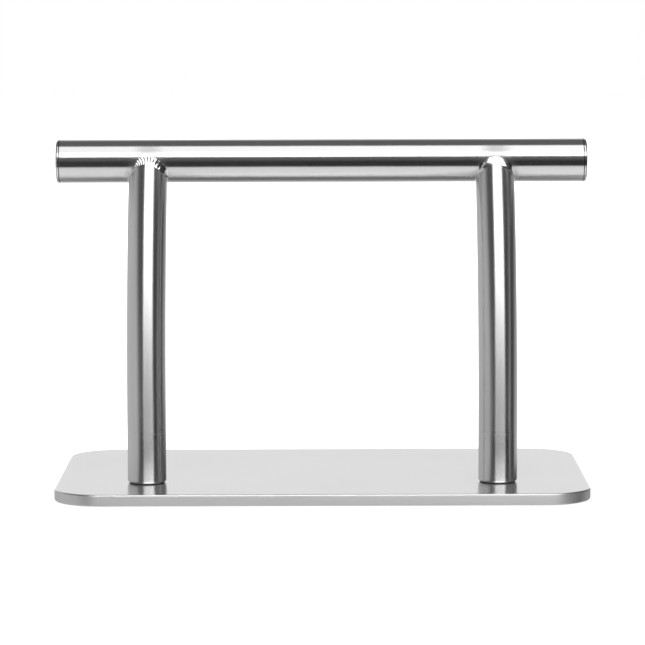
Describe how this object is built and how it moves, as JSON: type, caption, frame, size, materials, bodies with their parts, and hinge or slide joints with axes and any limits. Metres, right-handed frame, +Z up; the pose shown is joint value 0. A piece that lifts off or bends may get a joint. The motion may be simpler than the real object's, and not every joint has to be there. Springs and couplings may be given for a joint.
{
  "type": "freestanding foot rail",
  "caption": "Free-standing metal foot rail: round crossbar with capped ends on bent tube legs, screwed to a heavy flat base plate with rounded corners.",
  "frame": {"origin": "on the floor, under the centre of the base plate", "axes": "+X along the crossbar to the right, +Y to the back (the legs bend this way), +Z up"},
  "size_m": [0.462, 0.26, 0.305],
  "materials": {
    "plate_steel": "satin polished face, finely brushed edge",
    "tube_steel": "mirror polished, slightly wavy",
    "weld_metal": "polished weld metal with soft ripples",
    "turned_steel": "as turned",
    "zinc_screw": "bright zinc plate",
    "black_fibre": "matt black",
    "black_rubber": "matt black"
  },
  "bodies": {
    "root": {"base_plate": "plate_steel", "crossbar_tube": "tube_steel", "end_cap_left": "tube_steel", "end_cap_right": "tube_steel", "foot_plug_left": "turned_steel", "foot_plug_right": "turned_steel", "foot_washer_left": "black_fibre", "foot_washer_right": "black_fibre", "leg_screw_left": "zinc_screw", "leg_screw_right": "zinc_screw", "leg_tube_left": "tube_steel", "leg_tube_right": "tube_steel", "rubber_foot_front_left": "black_rubber", "rubber_foot_front_right": "black_rubber", "rubber_foot_rear_left": "black_rubber", "rubber_foot_rear_right": "black_rubber", "weld_bead_left": "weld_metal", "weld_bead_right": "weld_metal"}
  },
  "joints": []
}
